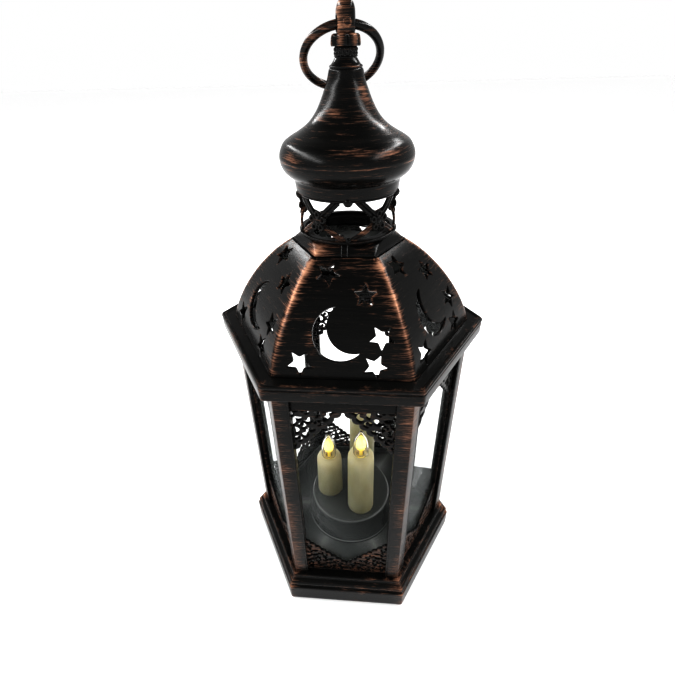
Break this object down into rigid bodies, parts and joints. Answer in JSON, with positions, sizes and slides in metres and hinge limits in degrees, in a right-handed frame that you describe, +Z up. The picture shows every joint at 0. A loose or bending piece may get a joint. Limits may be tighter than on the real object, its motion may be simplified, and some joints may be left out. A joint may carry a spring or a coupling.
{
  "type": "candle lantern",
  "caption": "Hexagonal table and hanging lantern with battery candles behind pierced windows, a domed roof cut with stars and crescents, an onion finial and a ring.",
  "frame": {"origin": "centre of the face it rests on", "axes": "+Z up, +X towards a corner of the hexagon, -Y out of the front window"},
  "size_m": [0.15, 0.13, 0.331],
  "materials": {
    "bronzed_plastic": "near-black bronze, semi-gloss, dry-brushed with copper",
    "copper_trim": "dark metal rubbed with copper paint",
    "black_plastic": "satin black moulding",
    "steel": "plated",
    "cream_wax": "wax-like, slightly translucent",
    "clear_tip": "clear, smooth",
    "clear_pane": "clear sheet, smooth, faintly hazy",
    "amber_light": "warm glowing plastic",
    "cell_coat": "plain coated cell",
    "board_green": "coated circuit board"
  },
  "bodies": {
    "lantern_body": {"base_tray": "bronzed_plastic", "bottom_plate": "black_plastic", "base_screw_1": "steel", "base_screw_2": "steel", "base_screw_3": "steel", "battery_cradle": "black_plastic", "contact_plate_positive": "steel", "contact_plate_negative": "steel", "battery_1": "cell_coat", "battery_2": "cell_coat", "battery_3": "cell_coat", "switch_body": "black_plastic", "battery_plinth": "black_plastic", "circuit_board": "board_green", "candle_sleeve_1": "cream_wax", "candle_sleeve_2": "cream_wax", "candle_sleeve_3": "cream_wax", "flame_bulb_1": "clear_tip", "flame_bulb_2": "clear_tip", "flame_bulb_3": "clear_tip", "flame_led_1": "amber_light", "flame_led_2": "amber_light", "flame_led_3": "amber_light", "corner_post_1": "bronzed_plastic", "corner_post_2": "bronzed_plastic", "corner_post_3": "bronzed_plastic", "corner_post_4": "bronzed_plastic", "corner_post_5": "bronzed_plastic", "corner_post_6": "bronzed_plastic", "window_frame_1": "bronzed_plastic", "window_frame_2": "bronzed_plastic", "window_frame_3": "bronzed_plastic", "window_frame_4": "bronzed_plastic", "window_frame_5": "bronzed_plastic", "window_frame_6": "bronzed_plastic", "window_pane_1": "clear_pane", "window_pane_2": "clear_pane", "window_pane_3": "clear_pane", "window_pane_4": "clear_pane", "window_pane_5": "clear_pane", "window_pane_6": "clear_pane", "eave_frame": "bronzed_plastic", "roof_dome": "bronzed_plastic", "neck_ring": "bronzed_plastic", "openwork_collar": "bronzed_plastic", "finial": "bronzed_plastic", "finial_spacer": "copper_trim", "eye_nut": "copper_trim", "hanger_eye": "copper_trim", "shank_nut": "steel"},
    "hanging_ring": {"hanging_ring": "copper_trim"},
    "switch_slider": {"switch_slider": "black_plastic"},
    "battery_door": {"battery_door": "black_plastic", "door_screw": "steel"}
  },
  "joints": [
    {"name": "ring_swing", "type": "hinge", "parent": "lantern_body", "child": "hanging_ring", "pos_m": [0, 0, 0.3224], "axis": [0.9781, 0.2079, 0], "range_deg": [-18.5, 284.5]},
    {"name": "switch_slide", "type": "slide", "parent": "lantern_body", "child": "switch_slider", "axis": [1, 0, 0], "range_m": [0, 0.004]},
    {"name": "battery_door_release", "type": "slide", "parent": "lantern_body", "child": "battery_door", "axis": [0, 0, -1], "range_m": [0, 0.03]}
  ]
}
